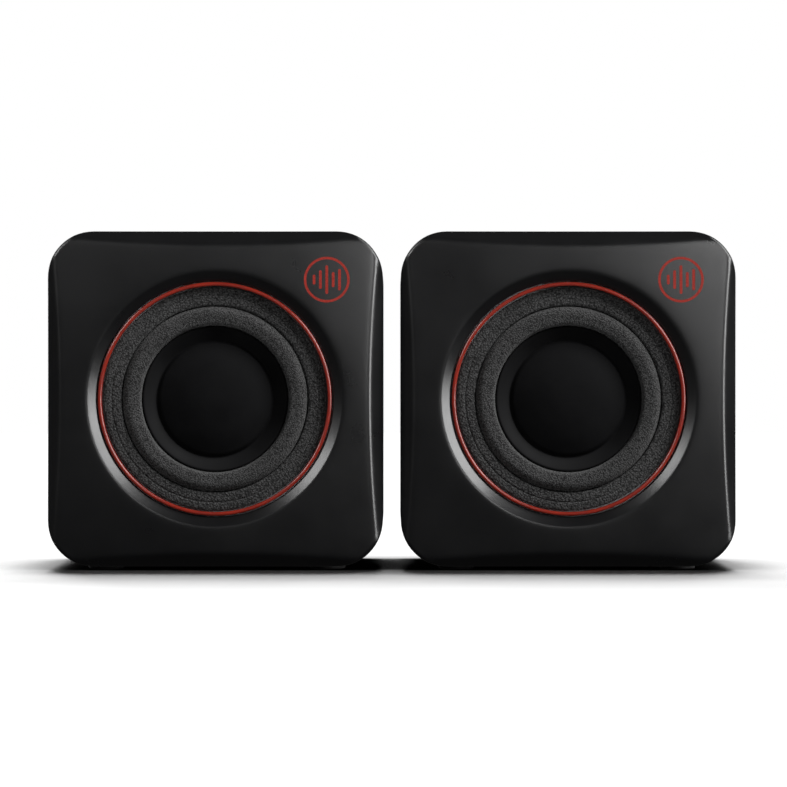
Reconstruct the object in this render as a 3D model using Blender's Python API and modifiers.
"""Desktop speakers: two square cabinets side by side, each with one small full-range driver.

World axes: +X to the listener's right, the fronts face -Y, +Z up. The origin is on the table, under the
middle of the pair. Depths are counted into a cabinet from the highest point of its domed front.
"""

import math

import bmesh
import bpy
from mathutils import Matrix

MM = 0.001
GAP = 0.3 * MM

# Cabinet
CABINET_WIDTH = 75 * MM
CABINET_DEPTH = 70 * MM
CABINET_SPACING = 4 * MM
CORNER_RADIUS = 10.4 * MM
CORNER_STEPS = 6
WALL = 2.2 * MM
PANEL_BACK = 4.2 * MM
DOME_RADIUS = 420 * MM
CHAMFER_START = 5.0 * MM
CHAMFER_SLOPE = 1.25
COVER_THICKNESS = 3.7 * MM
COVER_EDGE = 2.0 * MM
TAB = (30 * MM, 1.5 * MM, 3.0 * MM)

# Feet
FOOT_RADIUS = 4.0 * MM
FOOT_PROUD = 0.8 * MM
FOOT_POCKET = 0.7 * MM
FOOT_SIDE = 25 * MM
FOOT_DEPTHS = (14 * MM, 57 * MM)

# Cover screws, in posts at the corners
POST_PLACE = 31 * MM
POST_RADIUS = 3.3 * MM
POST_LENGTH = 20 * MM
COVER_SCREW = {"head": 2.6 * MM, "height": 1.4 * MM, "shank": 1.2 * MM, "length": 10 * MM}
COUNTERBORE_DEPTH = 2.0 * MM

# Driver screws, behind the panel
DRIVER_SCREW = {"head": 2.9 * MM, "height": 1.8 * MM, "shank": 1.1 * MM, "length": 3.2 * MM}
DRIVER_SCREW_CIRCLE = 30.4 * MM
DRIVER_SCREW_ANGLES = (90, 210, 330)
DRIVER_BOSS_RADIUS = 1.9 * MM

# Driver
BORE_RADIUS = 26.4 * MM
FLANGE_RADIUS = 28.0 * MM
FLANGE_DEPTH = 4.5 * MM
FLANGE_THICKNESS = 0.8 * MM
ROLL_MIDDLE = 18.55 * MM
ROLL_HALF_WIDTH = 2.15 * MM
ROLL_HEIGHT = 1.9 * MM
ROLL_STEPS = 5
FOAM_THICKNESS = 0.4 * MM
CAP_RADIUS = 12.5 * MM
CAP_RIM_DEPTH = 5.1 * MM
CAP_HEIGHT = 2.0 * MM
CAP_THICKNESS = 0.5 * MM
COIL_INNER = 6.9 * MM
SPIDER_DEPTH = 11.9 * MM
SPIDER_INNER = 7.5 * MM
SPIDER_OUTER = 14.6 * MM
SPIDER_RIM = 16.6 * MM
SPIDER_WAVE = 0.45 * MM
SPIDER_THICKNESS = 0.35 * MM
WINDOW_ANGLES = (45, 135, 225, 315)

# Gland and controls on the rear covers
GLAND_BELOW = 24 * MM
GLAND_HOLE = 3.5 * MM
KNOB_ABOVE = 13 * MM
KNOB_RADIUS = 7.5 * MM
KNOB_LENGTH = 7.6 * MM
SHAFT_RADIUS = 3.0 * MM
SHAFT_HOLE = 3.7 * MM

# Amplifier board
BOARD = (46 * MM, 1.6 * MM, 34 * MM)
BOARD_ABOVE = 6 * MM
BOARD_DEPTH = 54 * MM
BOARD_POST_SIDE = 19 * MM
BOARD_POST_BELOW = 6 * MM
BOARD_SCREW = {"head": 2.2 * MM, "height": 1.3 * MM, "shank": 0.9 * MM, "length": 6 * MM}

# Worked out from the sizes above
RECESS_RIM = 28.6 * MM
FOREMOST = RECESS_RIM**2 / (2 * DOME_RADIUS)
REARMOST = CABINET_DEPTH + 2 * GAP + KNOB_LENGTH
FRONT_Y = -(FOREMOST + REARMOST) / 2
MIDDLE_Z = FOOT_PROUD + CABINET_WIDTH / 2
SIDE_X = (CABINET_WIDTH + CABINET_SPACING) / 2
COVER_FRONT = CABINET_DEPTH - COVER_THICKNESS
SHELL_END = COVER_FRONT - GAP
SMOOTH_STEPS = 28
INNER_STEPS = 16
SCREW_STEPS = 8


def clear_scene():
    for obj in list(bpy.data.objects):
        bpy.data.objects.remove(obj, do_unlink=True)


def new_collection(name):
    collection = bpy.data.collections.new(name)
    bpy.context.scene.collection.children.link(collection)
    return collection


clear_scene()
PARTS = new_collection("desktop_speakers")
CUTTERS = new_collection("cutters")
CUTTERS.hide_render = True


def material(name, color, roughness, metallic=0.0):
    made = bpy.data.materials.new(name)
    made.use_nodes = True
    shader = made.node_tree.nodes["Principled BSDF"]
    shader.inputs["Base Color"].default_value = (*color, 1.0)
    shader.inputs["Roughness"].default_value = roughness
    shader.inputs["Metallic"].default_value = metallic
    made.diffuse_color = (*color, 1.0)
    return made


FINISH = {
    "front_shell": material("satin_black_abs", (0.012, 0.012, 0.013), 0.28),
    "rear_cover": material("textured_black_abs", (0.014, 0.014, 0.015), 0.55),
    "trim_ring": material("red_gloss_trim", (0.55, 0.03, 0.015), 0.25),
    "gasket": material("coarse_foam", (0.055, 0.055, 0.057), 0.95),
    "surround": material("roll_foam", (0.065, 0.065, 0.067), 0.95),
    "cone": material("cone_film", (0.012, 0.012, 0.012), 0.45),
    "dust_cap": material("cap_film", (0.011, 0.011, 0.011), 0.42),
    "voice_coil": material("enamelled_copper", (0.45, 0.18, 0.07), 0.35, 1.0),
    "spider": material("spider_cloth", (0.5, 0.36, 0.14), 0.9),
    "basket": material("stamped_steel", (0.42, 0.42, 0.43), 0.35, 1.0),
    "top_plate": material("zinc_plate", (0.5, 0.49, 0.45), 0.35, 1.0),
    "magnet": material("ferrite", (0.035, 0.035, 0.038), 0.6),
    "yoke": material("zinc_yoke", (0.5, 0.49, 0.45), 0.35, 1.0),
    "screw": material("black_zinc_screw", (0.06, 0.06, 0.06), 0.35, 1.0),
    "foot": material("black_rubber", (0.015, 0.015, 0.015), 0.8),
    "gland": material("gland_rubber", (0.016, 0.016, 0.016), 0.7),
    "lead": material("lead_insulation", (0.35, 0.02, 0.02), 0.45),
    "board": material("circuit_board", (0.02, 0.12, 0.05), 0.4),
    "chip": material("chip_epoxy", (0.02, 0.02, 0.02), 0.5),
    "capacitor": material("capacitor_sleeve", (0.02, 0.03, 0.09), 0.35),
    "potentiometer": material("potentiometer_case", (0.45, 0.45, 0.44), 0.4, 1.0),
    "shaft": material("shaft_steel", (0.5, 0.5, 0.5), 0.3, 1.0),
    "knob": material("knob_abs", (0.012, 0.012, 0.012), 0.4),
}


def link(name, mesh, finish, parent=None):
    """A part's object, or a cutter's where finish is None."""
    obj = bpy.data.objects.new(name, mesh)
    if finish is None:
        CUTTERS.objects.link(obj)
        obj.hide_render = True
        obj.display_type = "WIRE"
    else:
        PARTS.objects.link(obj)
        mesh.materials.append(FINISH[finish])
    obj.parent = parent
    return obj


def empty(name, location, parent=None, facing_front=False):
    obj = bpy.data.objects.new(name, None)
    obj.empty_display_size = 10 * MM
    obj.location = location
    obj.parent = parent
    if facing_front:
        obj.rotation_euler = (math.pi / 2, 0, 0)
    PARTS.objects.link(obj)
    return obj


def turned(name, profile, steps, parent, finish, ring=True, location=(0, 0, 0)):
    """A solid turned about its local Z from (radius, depth) points that run down the outer side first.

    A ring's profile is a closed loop. Any other starts and ends on the axis.
    """
    mesh = bpy.data.meshes.new(name)
    points = [(radius, 0, -depth) for radius, depth in profile]
    ends = len(points) if ring else len(points) - 1
    mesh.from_pydata(points, [(i, (i + 1) % len(points)) for i in range(ends)], [])
    obj = link(name, mesh, finish, parent)
    obj.location = location
    screw = obj.modifiers.new("Turn", "SCREW")
    screw.axis = "Z"
    screw.steps = steps
    screw.render_steps = steps
    screw.use_merge_vertices = True
    screw.merge_threshold = 0.01 * MM
    screw.use_smooth_shade = True
    return obj


def finish_mesh(name, bm, finish, parent=None):
    mesh = bpy.data.meshes.new(name)
    bmesh.ops.recalc_face_normals(bm, faces=bm.faces)
    bm.to_mesh(mesh)
    bm.free()
    mesh.shade_smooth()
    mesh.set_sharp_from_angle(angle=math.radians(30))
    return link(name, mesh, finish, parent)


def add_box(bm, size, centre):
    place = Matrix.Translation(centre) @ Matrix.Diagonal((*size, 1))
    return bmesh.ops.create_cube(bm, size=1, matrix=place)["verts"]


def add_rod(bm, radius, ends, centre, axis="Y", steps=INNER_STEPS):
    """A cylinder along Y or Z from ends[0] to ends[1], with centre its other two coordinates."""
    low, high = ends
    middle = (low + high) / 2
    if axis == "Y":
        place = Matrix.Translation((centre[0], middle, centre[1]))
        place = place @ Matrix.Rotation(math.pi / 2, 4, "X")
    else:
        place = Matrix.Translation((*centre, middle))
    bmesh.ops.create_cone(
        bm,
        cap_ends=True,
        segments=steps,
        radius1=radius,
        radius2=radius,
        depth=high - low,
        matrix=place,
    )


def add_rounded_slab(bm, width, corner, low_y, high_y):
    """A square slab facing Y, centred on the cabinet's axis, with its four corners rounded."""
    slab = add_box(bm, (width, high_y - low_y, width), (0, (low_y + high_y) / 2, 0))
    sides = {edge for vert in slab for edge in vert.link_edges}
    corners = [e for e in sides if abs(e.verts[0].co.y - e.verts[1].co.y) > (high_y - low_y) / 2]
    bmesh.ops.bevel(bm, geom=corners, offset=corner, segments=CORNER_STEPS, affect="EDGES", profile=0.5)


def boolean(obj, operation, other):
    cut = obj.modifiers.new(operation.title(), "BOOLEAN")
    cut.operation = operation
    cut.object = other
    cut.solver = "EXACT"


def dome_drop(radius):
    """How far the domed front has fallen back at this radius."""
    return radius**2 / (2 * DOME_RADIUS)


def corner_places():
    return [(x * POST_PLACE, z * POST_PLACE) for x in (-1, 1) for z in (-1, 1)]


def driver_screw_places():
    turns = [math.radians(angle) for angle in DRIVER_SCREW_ANGLES]
    radius = DRIVER_SCREW_CIRCLE
    return [(radius * math.cos(turn), radius * math.sin(turn)) for turn in turns]


def foot_places():
    return [(x * FOOT_SIDE, depth) for x in (-1, 1) for depth in FOOT_DEPTHS]


def front_blank(side, cabinet):
    """The square body with its four front chamfers, still solid."""
    bm = bmesh.new()
    add_rounded_slab(bm, CABINET_WIDTH, CORNER_RADIUS, 0, SHELL_END)
    for x, z in ((1, 0), (-1, 0), (0, 1), (0, -1)):
        on_side = (x * CABINET_WIDTH / 2, CHAMFER_START, z * CABINET_WIDTH / 2)
        geometry = bm.verts[:] + bm.edges[:] + bm.faces[:]
        outwards = (x * CHAMFER_SLOPE, -1, z * CHAMFER_SLOPE)
        bmesh.ops.bisect_plane(bm, geom=geometry, plane_co=on_side, plane_no=outwards, clear_outer=True)
        bmesh.ops.holes_fill(bm, edges=[edge for edge in bm.edges if edge.is_boundary])
    return finish_mesh(f"{side}_front_shell", bm, "front_shell", cabinet)


def dome_blank(side, axis):
    """A turned block whose front is the dome: what the cabinet's front is cut to."""
    reach = 60 * MM
    arc = [(reach * i / 6, dome_drop(reach * i / 6)) for i in range(7)]
    profile = arc + [(reach, CABINET_DEPTH), (0, CABINET_DEPTH)]
    return turned(f"{side}_dome_blank", profile, SMOOTH_STEPS, axis, None, ring=False)


def recess_cutter(side, axis):
    """The round recess: a crisp rim, a flank of 30 degrees and the bore for the driver."""
    profile = [
        (0, -2 * MM),
        (RECESS_RIM, -2 * MM),
        (RECESS_RIM, 1.0 * MM),
        (26.7 * MM, 2.1 * MM),
        (BORE_RADIUS, 2.2 * MM),
        (BORE_RADIUS, 6 * MM),
        (0, 6 * MM),
    ]
    return turned(f"{side}_recess_cutter", profile, SMOOTH_STEPS, axis, None, ring=False)


def cavity_cutter(side, cabinet):
    bm = bmesh.new()
    add_rounded_slab(bm, CABINET_WIDTH - 2 * WALL, CORNER_RADIUS - WALL, PANEL_BACK, CABINET_DEPTH)
    return finish_mesh(f"{side}_cavity_cutter", bm, None, cabinet)


def bosses(side, cabinet):
    """The corner posts for the cover's screws and the low bosses for the driver's screws."""
    bm = bmesh.new()
    for place in corner_places():
        add_rod(bm, POST_RADIUS, (SHELL_END - POST_LENGTH, SHELL_END), place, steps=12)
    boss_ends = (PANEL_BACK - 1 * MM, FLANGE_DEPTH + FLANGE_THICKNESS)
    for place in driver_screw_places():
        add_rod(bm, DRIVER_BOSS_RADIUS, boss_ends, place, steps=12)
    return finish_mesh(f"{side}_bosses", bm, None, cabinet)


def bores(side, cabinet):
    """The screw holes in the posts and bosses, and the pockets for the feet."""
    bm = bmesh.new()
    cover_ends = (SHELL_END - COVER_SCREW["length"] - 2 * MM, CABINET_DEPTH)
    for place in corner_places():
        add_rod(bm, COVER_SCREW["shank"] + GAP, cover_ends, place, steps=SCREW_STEPS)
    driver_ends = (FLANGE_DEPTH + FLANGE_THICKNESS - DRIVER_SCREW["length"], 8 * MM)
    for place in driver_screw_places():
        add_rod(bm, DRIVER_SCREW["shank"] + GAP, driver_ends, place, steps=SCREW_STEPS)
    floor = -CABINET_WIDTH / 2
    for place in foot_places():
        add_rod(bm, FOOT_RADIUS + GAP, (floor - 1 * MM, floor + FOOT_POCKET), place, "Z")
    return finish_mesh(f"{side}_bores", bm, None, cabinet)


def front_shell(side, cabinet, axis):
    shell = front_blank(side, cabinet)
    boolean(shell, "INTERSECT", dome_blank(side, axis))
    boolean(shell, "DIFFERENCE", cavity_cutter(side, cabinet))
    boolean(shell, "UNION", bosses(side, cabinet))
    boolean(shell, "DIFFERENCE", recess_cutter(side, axis))
    boolean(shell, "DIFFERENCE", bores(side, cabinet))


def cover_slab(side, cabinet):
    bm = bmesh.new()
    add_rounded_slab(bm, CABINET_WIDTH, CORNER_RADIUS, COVER_FRONT, CABINET_DEPTH)
    rim = [e for e in bm.edges if all(abs(v.co.y - CABINET_DEPTH) < GAP for v in e.verts)]
    bmesh.ops.bevel(bm, geom=rim, offset=COVER_EDGE, segments=2, affect="EDGES", profile=0.5)
    return finish_mesh(f"{side}_rear_cover", bm, "rear_cover", cabinet)


def cover_tabs(side, cabinet, active):
    """Four tabs that drop inside the walls and, on the active side, two posts for the board."""
    bm = bmesh.new()
    inside = CABINET_WIDTH / 2 - WALL - GAP - TAB[1] / 2
    middle = COVER_FRONT + 1 * MM - TAB[2] / 2
    for sign in (-1, 1):
        add_box(bm, (TAB[0], TAB[2] + 2 * MM, TAB[1]), (0, middle, sign * inside))
        add_box(bm, (TAB[1], TAB[2] + 2 * MM, TAB[0]), (sign * inside, middle, 0))
        if active:
            place = (sign * BOARD_POST_SIDE, BOARD_ABOVE - BOARD_POST_BELOW)
            add_rod(bm, 2.6 * MM, (BOARD_DEPTH + BOARD[1] + GAP, COVER_FRONT + 1 * MM), place, steps=12)
    return finish_mesh(f"{side}_cover_tabs", bm, None, cabinet)


def cover_holes(side, cabinet, active):
    """Screw holes, the gland's hole and, on the active side, the shaft's and the board screws'."""
    bm = bmesh.new()
    back = CABINET_DEPTH + 1 * MM
    for place in corner_places():
        add_rod(bm, COVER_SCREW["shank"] + GAP, (COVER_FRONT - 1 * MM, back), place, steps=SCREW_STEPS)
    add_rod(bm, GLAND_HOLE, (COVER_FRONT - 1 * MM, back), (0, -GLAND_BELOW))
    if active:
        add_rod(bm, SHAFT_HOLE, (COVER_FRONT - 1 * MM, back), (0, KNOB_ABOVE))
        board_ends = (BOARD_DEPTH, COVER_FRONT - 2 * MM)
        for sign in (-1, 1):
            place = (sign * BOARD_POST_SIDE, BOARD_ABOVE - BOARD_POST_BELOW)
            add_rod(bm, BOARD_SCREW["shank"] + GAP, board_ends, place, steps=SCREW_STEPS)
    return finish_mesh(f"{side}_cover_holes", bm, None, cabinet)


def counterbores(side, cabinet):
    bm = bmesh.new()
    for place in corner_places():
        ends = (CABINET_DEPTH - COUNTERBORE_DEPTH, CABINET_DEPTH + 1 * MM)
        add_rod(bm, COVER_SCREW["head"] + 0.4 * MM, ends, place, steps=12)
    return finish_mesh(f"{side}_counterbores", bm, None, cabinet)


def rear_cover(side, cabinet, active):
    cover = cover_slab(side, cabinet)
    boolean(cover, "UNION", cover_tabs(side, cabinet, active))
    boolean(cover, "DIFFERENCE", cover_holes(side, cabinet, active))
    boolean(cover, "DIFFERENCE", counterbores(side, cabinet))


def screw(name, size, cabinet, place, under_head, head_towards_back=True):
    """A pan-head screw along the cabinet's depth; under_head is the depth of its head's underside."""
    head, height, shank, length = (size[key] for key in ("head", "height", "shank", "length"))
    profile = [
        (0, -height),
        (head * 0.7, -height),
        (head, -height * 0.45),
        (head, 0),
        (shank, 0),
        (shank, length - shank),
        (0, length),
    ]
    location = (place[0], under_head, place[1])
    obj = turned(name, profile, SCREW_STEPS, cabinet, "screw", ring=False, location=location)
    # A turned piece's local Z is the way its head points: towards the back or towards the front.
    obj.rotation_euler = (-math.pi / 2 if head_towards_back else math.pi / 2, 0, 0)


def feet(side, cabinet):
    top = FOOT_PROUD + FOOT_POCKET - GAP
    profile = [
        (0, -top),
        (FOOT_RADIUS, -top),
        (FOOT_RADIUS, -0.35 * MM),
        (FOOT_RADIUS - 0.35 * MM, 0),
        (0, 0),
    ]
    floor = -CABINET_WIDTH / 2 - FOOT_PROUD
    for number, (x, depth) in enumerate(foot_places(), 1):
        name = f"{side}_foot_{number}"
        turned(name, profile, INNER_STEPS, cabinet, "foot", ring=False, location=(x, depth, floor))


def trim_ring(side, axis):
    inner, outer, top, bottom = 25.25 * MM, 26.1 * MM, 1.85 * MM, 4.15 * MM
    shoulder = 0.3 * MM
    profile = [
        ((inner + outer) / 2, top),
        (outer - 0.15 * MM, top + 0.07 * MM),
        (outer, top + shoulder),
        (outer, bottom),
        (inner, bottom),
        (inner, top + shoulder),
        (inner + 0.15 * MM, top + 0.07 * MM),
    ]
    turned(f"{side}_trim_ring", profile, SMOOTH_STEPS, axis, "trim_ring")


def gasket(side, axis):
    """A flat foam ring with one shallow groove pressed round it."""
    inner, outer, top, bottom = 20.95 * MM, 24.95 * MM, 3.0 * MM, 3.6 * MM
    groove = 23.1 * MM
    profile = [
        (groove, top + 0.2 * MM),
        (groove + 0.3 * MM, top),
        (outer, top),
        (outer, bottom),
        (inner, bottom),
        (inner, top),
        (groove - 0.3 * MM, top),
    ]
    turned(f"{side}_gasket", profile, SMOOTH_STEPS, axis, "gasket")


def roll_line(offset):
    """The half-roll of foam from its outer foot to its inner one, moved back by offset."""
    line = []
    for step in range(ROLL_STEPS + 1):
        turn = math.pi * step / ROLL_STEPS
        radius = ROLL_MIDDLE + (ROLL_HALF_WIDTH - offset * 0.9) * math.cos(turn)
        foot = 4.3 * MM - 0.3 * MM * math.cos(turn)
        line.append((radius, foot + (offset - ROLL_HEIGHT) * math.sin(turn)))
    return line


def surround(side, axis):
    lip_outer, lip_inner, thickness = 24.6 * MM, 15.1 * MM, FOAM_THICKNESS
    front = roll_line(0)
    back = roll_line(thickness)
    front_lip = (lip_inner, 4.95 * MM)
    back_lip = (lip_inner, front_lip[1] + thickness)
    back_feet = [(radius, depth + thickness * 0.5) for radius, depth in (back[0], back[-1])]
    profile = [(lip_outer, 3.8 * MM), (lip_outer, 4.2 * MM), back_feet[0]]
    profile += back[1:-1] + [back_feet[1], back_lip, front_lip] + front[::-1]
    front_of_lip = (front[0][0] + 0.2 * MM, 3.8 * MM)
    turned(f"{side}_surround", profile + [front_of_lip], SMOOTH_STEPS, axis, "surround")


def cone(side, axis):
    thickness = 0.45 * MM
    front = [(16.2 * MM, 3.7 * MM), (12.6 * MM, 5.4 * MM), (7.5 * MM, 9.0 * MM)]
    back = [(radius, depth + thickness) for radius, depth in front]
    turned(f"{side}_cone", back + front[::-1], SMOOTH_STEPS, axis, "cone")


def cap_line(offset):
    """The dust cap's dome from its middle to its rim, moved back by offset."""
    curve = (CAP_RADIUS**2 + CAP_HEIGHT**2) / (2 * CAP_HEIGHT)
    line = []
    for step in range(4):
        radius = CAP_RADIUS * step / 3
        rise = math.sqrt(curve**2 - radius**2) - (curve - CAP_HEIGHT)
        line.append((radius, CAP_RIM_DEPTH - rise + offset))
    return line


def dust_cap(side, axis):
    front = cap_line(-CAP_THICKNESS)
    back = cap_line(0)
    profile = front + back[::-1]
    turned(f"{side}_dust_cap", profile, SMOOTH_STEPS, axis, "dust_cap", ring=False)


def voice_coil(side, axis):
    former, winding = COIL_INNER + 0.3 * MM, COIL_INNER + 0.6 * MM
    top, start, end = 8.3 * MM, 13.2 * MM, 16.6 * MM
    profile = [
        (former, top),
        (former, start),
        (winding, start),
        (winding, end),
        (COIL_INNER, end),
        (COIL_INNER, top),
    ]
    turned(f"{side}_voice_coil", profile, INNER_STEPS, axis, "voice_coil")


def spider_line(offset):
    """The corrugated disc from its flat outer rim to its inner edge, moved back by offset."""
    rim_depth = SPIDER_DEPTH + SPIDER_WAVE
    line = [(SPIDER_RIM, rim_depth + offset)]
    waves, points = 2, 9
    for step in range(points):
        share = step / (points - 1)
        radius = SPIDER_OUTER + (SPIDER_INNER - SPIDER_OUTER) * share
        wave = SPIDER_WAVE * math.cos(2 * math.pi * waves * share)
        line.append((radius, SPIDER_DEPTH + wave + offset))
    return line


def spider(side, axis):
    front = spider_line(-SPIDER_THICKNESS / 2)
    back = spider_line(SPIDER_THICKNESS / 2)
    turned(f"{side}_spider", back + front[::-1], INNER_STEPS, axis, "spider")


def basket_windows(side, axis):
    bm = bmesh.new()
    for angle in WINDOW_ANGLES:
        turn = Matrix.Rotation(math.radians(angle), 4, "Z")
        verts = add_box(bm, (9 * MM, 14 * MM, 5.2 * MM), (20.5 * MM, 0, -9.2 * MM))
        bmesh.ops.transform(bm, matrix=turn, verts=verts)
    return finish_mesh(f"{side}_basket_windows", bm, None, axis)


def basket_tab(side, axis):
    """The tab that carries the solder tags, at the bottom of the basket."""
    bm = bmesh.new()
    add_box(bm, (8 * MM, 6 * MM, 0.6 * MM), (0, -20 * MM, -13.3 * MM))
    return finish_mesh(f"{side}_basket_tab", bm, None, axis)


def basket(side, axis):
    back = FLANGE_DEPTH + FLANGE_THICKNESS
    floor, seat = 12.9 * MM, 13.7 * MM
    profile = [
        (FLANGE_RADIUS, FLANGE_DEPTH),
        (FLANGE_RADIUS, back),
        (22.2 * MM, back),
        (18.3 * MM, floor),
        (18.3 * MM, seat),
        (9.2 * MM, seat),
        (9.2 * MM, floor),
        (17.4 * MM, floor),
        (21.3 * MM, back),
        (21.3 * MM, FLANGE_DEPTH),
    ]
    frame = turned(f"{side}_basket", profile, INNER_STEPS, axis, "basket")
    boolean(frame, "DIFFERENCE", basket_windows(side, axis))
    boolean(frame, "UNION", basket_tab(side, axis))


def flat_ring(outer, inner, front, back):
    return [(outer, front), (outer, back), (inner, back), (inner, front)]


def motor(side, axis):
    """Top plate, magnet ring and yoke, stacked behind the basket."""
    plate = flat_ring(17.5 * MM, 7.85 * MM, 14.0 * MM, 16.0 * MM)
    turned(f"{side}_top_plate", plate, INNER_STEPS, axis, "top_plate")
    ring = flat_ring(19.5 * MM, 10.5 * MM, 16.3 * MM, 21.8 * MM)
    turned(f"{side}_magnet", ring, INNER_STEPS, axis, "magnet")
    yoke = [
        (0, 13.8 * MM),
        (6.6 * MM, 13.8 * MM),
        (6.6 * MM, 22.1 * MM),
        (17.5 * MM, 22.1 * MM),
        (17.5 * MM, 24.6 * MM),
        (0, 24.6 * MM),
    ]
    turned(f"{side}_yoke", yoke, INNER_STEPS, axis, "yoke", ring=False)


def gland(side, cabinet):
    """A rubber grommet, clipped through the cover, with the hole for the lead."""
    hole, neck, lip = 1.8 * MM, GLAND_HOLE - GAP, 4.6 * MM
    inner_face = COVER_FRONT - GAP
    outer_face = CABINET_DEPTH + GAP
    profile = [
        (lip - 0.5 * MM, -outer_face - 1.2 * MM),
        (lip, -outer_face - 0.7 * MM),
        (lip, -outer_face),
        (neck, -outer_face),
        (neck, -inner_face),
        (lip, -inner_face),
        (lip - 0.6 * MM, -inner_face + 1.4 * MM),
        (hole, -inner_face + 1.4 * MM),
        (hole, -outer_face - 1.2 * MM),
    ]
    location = (0, 0, -GLAND_BELOW)
    obj = turned(f"{side}_cable_gland", profile, INNER_STEPS, cabinet, "gland", location=location)
    obj.rotation_euler = (-math.pi / 2, 0, 0)


def driver_lead(side, cabinet, end):
    """The two-core inner lead, from the basket's tab to end, in one easy bend."""
    start = (0, 14.9 * MM, -21 * MM)
    route = [
        start,
        (0, 18 * MM, -21.2 * MM),
        (0, 24 * MM, -24 * MM),
        (end[0] * 0.3, 34 * MM, -27 * MM),
        (end[0] * 0.8, end[1] - 12 * MM, (end[2] - 27 * MM) / 2),
        (end[0], end[1] - 4 * MM, end[2]),
        end,
    ]
    points = []
    for i in range(1, len(route)):
        before = route[max(i - 2, 0)]
        after = route[min(i + 1, len(route) - 1)]
        for step in range(3):
            points.append(on_curve(before, route[i - 1], route[i], after, step / 3))
    points.append(end)
    curve = bpy.data.curves.new(f"{side}_driver_lead", "CURVE")
    curve.dimensions = "3D"
    curve.bevel_depth = 1.0 * MM
    curve.bevel_resolution = 2
    curve.use_fill_caps = True
    spline = curve.splines.new("POLY")
    spline.points.add(len(points) - 1)
    for point, place in zip(spline.points, points):
        point.co = (*place, 1)
    curve.materials.append(FINISH["lead"])
    obj = bpy.data.objects.new(f"{side}_driver_lead", curve)
    obj.parent = cabinet
    PARTS.objects.link(obj)


def on_curve(before, start, stop, after, share):
    """A point on the Catmull-Rom curve between start and stop."""
    found = []
    for p0, p1, p2, p3 in zip(before, start, stop, after):
        bend = 2 * p0 - 5 * p1 + 4 * p2 - p3
        twist = 3 * (p1 - p2) + p3 - p0
        found.append(p1 + share * ((p2 - p0) + share * (bend + share * twist)) / 2)
    return found


def diaphragm_and_driver(side, cabinet):
    """The driver's fixed pieces on one empty and its moving pieces on another, both on its axis."""
    axis = empty(f"{side}_driver_axis", (0, 0, 0), cabinet, facing_front=True)
    trim_ring(side, axis)
    gasket(side, axis)
    surround(side, axis)
    basket(side, axis)
    spider(side, axis)
    motor(side, axis)
    moving = empty(f"{side}_diaphragm", (0, 0, 0), cabinet, facing_front=True)
    cone(side, moving)
    dust_cap(side, moving)
    voice_coil(side, moving)
    return axis


def speaker(side, x, active):
    cabinet = empty(f"{side}_cabinet", (x, FRONT_Y, MIDDLE_Z))
    axis = diaphragm_and_driver(side, cabinet)
    front_shell(side, cabinet, axis)
    rear_cover(side, cabinet, active)
    feet(side, cabinet)
    gland(side, cabinet)
    for number, place in enumerate(corner_places(), 1):
        under_head = CABINET_DEPTH - COUNTERBORE_DEPTH + GAP
        screw(f"{side}_cover_screw_{number}", COVER_SCREW, cabinet, place, under_head)
    for number, place in enumerate(driver_screw_places(), 1):
        under_head = FLANGE_DEPTH + FLANGE_THICKNESS + GAP
        screw(f"{side}_driver_screw_{number}", DRIVER_SCREW, cabinet, place, under_head)
    return cabinet


def amplifier(cabinet):
    """Board, chip and capacitor, with the two screws that hold the board to the cover's posts."""
    bm = bmesh.new()
    add_box(bm, BOARD, (0, BOARD_DEPTH + BOARD[1] / 2, BOARD_ABOVE))
    board = finish_mesh("amp_board", bm, "board", cabinet)
    holes = bmesh.new()
    hole_ends = (BOARD_DEPTH - MM, BOARD_DEPTH + 3 * MM)
    for number, sign in enumerate((-1, 1), 1):
        place = (sign * BOARD_POST_SIDE, BOARD_ABOVE - BOARD_POST_BELOW)
        add_rod(holes, BOARD_SCREW["shank"] + GAP, hole_ends, place, steps=SCREW_STEPS)
        under_head = BOARD_DEPTH - GAP
        screw(f"board_screw_{number}", BOARD_SCREW, cabinet, place, under_head, head_towards_back=False)
    boolean(board, "DIFFERENCE", finish_mesh("board_holes", holes, None, cabinet))
    bm = bmesh.new()
    add_box(bm, (19.3 * MM, 3.3 * MM, 6.4 * MM), (-4 * MM, BOARD_DEPTH - GAP - 1.65 * MM, 16 * MM))
    finish_mesh("amp_chip", bm, "chip", cabinet)
    radius, length = 4 * MM, 11 * MM
    profile = [(0, 0), (radius, 0), (radius, length), (0, length)]
    place = (11 * MM, BOARD_DEPTH - GAP - length, -2 * MM)
    can = turned("filter_capacitor", profile, 16, cabinet, "capacitor", ring=False, location=place)
    can.rotation_euler = (math.pi / 2, 0, 0)


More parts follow.
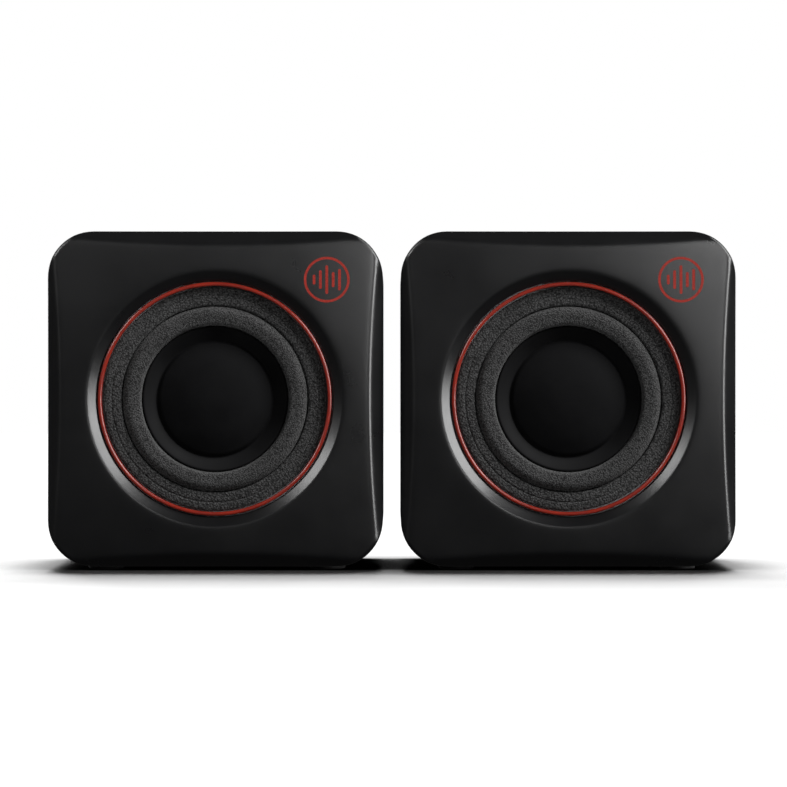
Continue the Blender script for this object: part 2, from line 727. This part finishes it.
def volume_control(cabinet):
    """The potentiometer on the board, and its shaft and knob on one empty on their own axis."""
    bm = bmesh.new()
    body_start = BOARD_DEPTH + BOARD[1] + GAP
    body_end = body_start + 5.5 * MM
    add_box(bm, (11 * MM, body_end - body_start, 12 * MM), (0, (body_start + body_end) / 2, KNOB_ABOVE))
    body = finish_mesh("volume_potentiometer", bm, "potentiometer", cabinet)
    bushing = bmesh.new()
    add_rod(bushing, SHAFT_RADIUS + 1.4 * MM, (body_end - 1 * MM, COVER_FRONT - GAP), (0, KNOB_ABOVE))
    boolean(body, "UNION", finish_mesh("potentiometer_bushing", bushing, None, cabinet))
    bore = bmesh.new()
    add_rod(bore, SHAFT_RADIUS + GAP, (body_start + 2 * MM, CABINET_DEPTH), (0, KNOB_ABOVE))
    boolean(body, "DIFFERENCE", finish_mesh("potentiometer_bore", bore, None, cabinet))

    axis = empty("volume_axis", (0, 0, KNOB_ABOVE), cabinet)
    axis.rotation_euler = (-math.pi / 2, 0, 0)
    start = body_start + 2 * MM + GAP
    end = CABINET_DEPTH + 5.2 * MM
    shaft = [(0, -end), (SHAFT_RADIUS, -end), (SHAFT_RADIUS, -start), (0, -start)]
    turned("volume_shaft", shaft, INNER_STEPS, axis, "shaft", ring=False)
    face = CABINET_DEPTH + 2 * GAP
    tip = face + KNOB_LENGTH
    knob = [
        (0, -tip),
        (KNOB_RADIUS - 1.4 * MM, -tip),
        (KNOB_RADIUS - 0.5 * MM, -tip + 0.5 * MM),
        (KNOB_RADIUS, -face),
        (SHAFT_RADIUS + GAP, -face),
        (SHAFT_RADIUS + GAP, -end - GAP),
        (0, -end - GAP),
    ]
    turned("volume_knob", knob, 24, axis, "knob", ring=False)


left = speaker("left", -SIDE_X, active=False)
right = speaker("right", SIDE_X, active=True)
driver_lead("left", left, (0, COVER_FRONT - 2.2 * MM, -GLAND_BELOW))
driver_lead("right", right, (14 * MM, BOARD_DEPTH - 2 * MM, -7 * MM))
amplifier(right)
volume_control(right)
